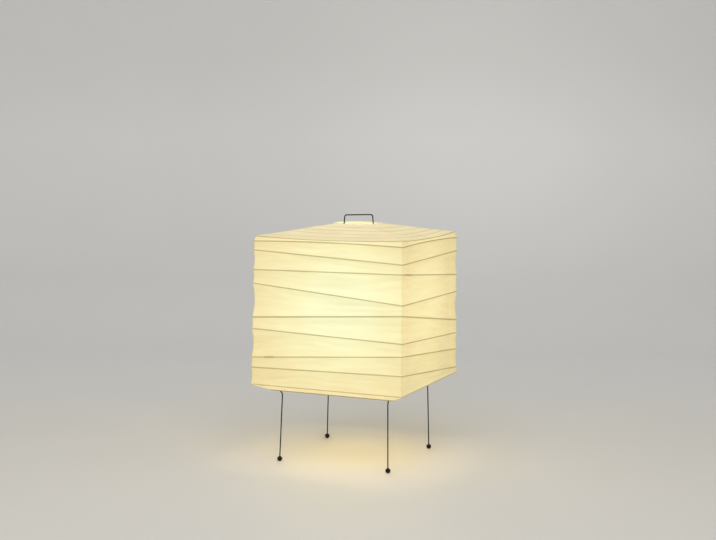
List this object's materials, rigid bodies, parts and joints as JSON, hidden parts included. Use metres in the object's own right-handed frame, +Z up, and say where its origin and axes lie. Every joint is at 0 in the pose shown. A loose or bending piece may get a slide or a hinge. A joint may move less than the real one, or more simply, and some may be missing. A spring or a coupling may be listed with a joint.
{
  "type": "paper table lamp",
  "caption": "Box-shaped paper shade with an irregular wound bamboo rib, stretched over a black wire frame with ball feet, a handle and a lampholder with its bulb.",
  "frame": {"origin": "on the floor under the middle of the lamp", "axes": "+Z up, the front wall faces -Y, the narrow wall at the right of the picture faces +X"},
  "size_m": [0.401, 0.401, 0.6175],
  "materials": {
    "wall_paper": "thin mulberry paper with soft wrinkles, lit from inside",
    "top_paper": "thin mulberry paper, lit from inside",
    "band_paper": "thin mulberry paper, lit from inside",
    "lap_paper": "second layer of mulberry paper, pasted down",
    "split_bamboo": "split bamboo, bare",
    "rim_bamboo": "bamboo batten, bare",
    "batten_bamboo": "split bamboo, glued",
    "black_wire": "black enamelled steel wire, half gloss",
    "black_rubber": "smooth black rubber",
    "plated_steel": "zinc plated",
    "bush_plastic": "black nylon",
    "holder_plastic": "black moulded phenolic",
    "white_porcelain": "white, glazed",
    "contact_brass": "stamped brass",
    "bulb_glass": "frosted inside",
    "cap_aluminium": "rolled thread",
    "black_glass": "black vitrite",
    "solder": "solder button",
    "stem_glass": "clear flare and stem",
    "filament_wire": "lead wires and glowing filament"
  },
  "bodies": {
    "lamp": {"side_paper_front": "wall_paper", "side_paper_right": "wall_paper", "side_paper_back": "wall_paper", "side_paper_left": "wall_paper", "top_paper_front": "top_paper", "top_paper_right": "top_paper", "top_paper_back": "top_paper", "top_paper_left": "top_paper", "bottom_paper_front": "band_paper", "bottom_paper_right": "band_paper", "bottom_paper_back": "band_paper", "bottom_paper_left": "band_paper", "paper_laps": "lap_paper", "ring_hem": "top_paper", "top_spiral_rib": "split_bamboo", "side_spiral_rib": "split_bamboo", "top_hoop": "split_bamboo", "bottom_hoop": "split_bamboo", "bottom_rim": "rim_bamboo", "rib_splices": "batten_bamboo", "top_ring": "black_wire", "upright": "black_wire", "hub_plate": "black_wire", "upright_sockets": "black_wire", "leg_front_left": "black_wire", "leg_front_right": "black_wire", "leg_back_right": "black_wire", "leg_back_left": "black_wire", "foot_front_left": "black_rubber", "foot_front_right": "black_rubber", "foot_back_right": "black_rubber", "foot_back_left": "black_rubber", "stem_tube": "plated_steel", "stem_nuts": "plated_steel", "cord_bush": "bush_plastic", "holder_cap": "holder_plastic", "holder_body": "holder_plastic", "holder_insulator": "white_porcelain", "holder_screw_shell": "contact_brass", "holder_contact": "contact_brass", "holder_terminals": "contact_brass"},
    "bulb_tip": {"bulb_contact": "solder"},
    "bulb": {"bulb_glass": "bulb_glass", "bulb_cap": "cap_aluminium", "bulb_insulator": "black_glass", "bulb_mount": "stem_glass", "bulb_filament": "filament_wire"}
  },
  "joints": [
    {"name": "bulb_rise", "type": "slide", "parent": "lamp", "child": "bulb_tip", "axis": [0, 0, 1], "range_m": [0, 0.013]},
    {"name": "bulb_turn", "type": "hinge", "parent": "bulb_tip", "child": "bulb", "pos_m": [0, 0, 0.385], "axis": [0, 0, 1], "range_deg": [0, 1260]}
  ],
  "couplings": [
    {"joint": "bulb_rise", "follows": "bulb_turn", "m_per_rad": 0.0005775}
  ]
}
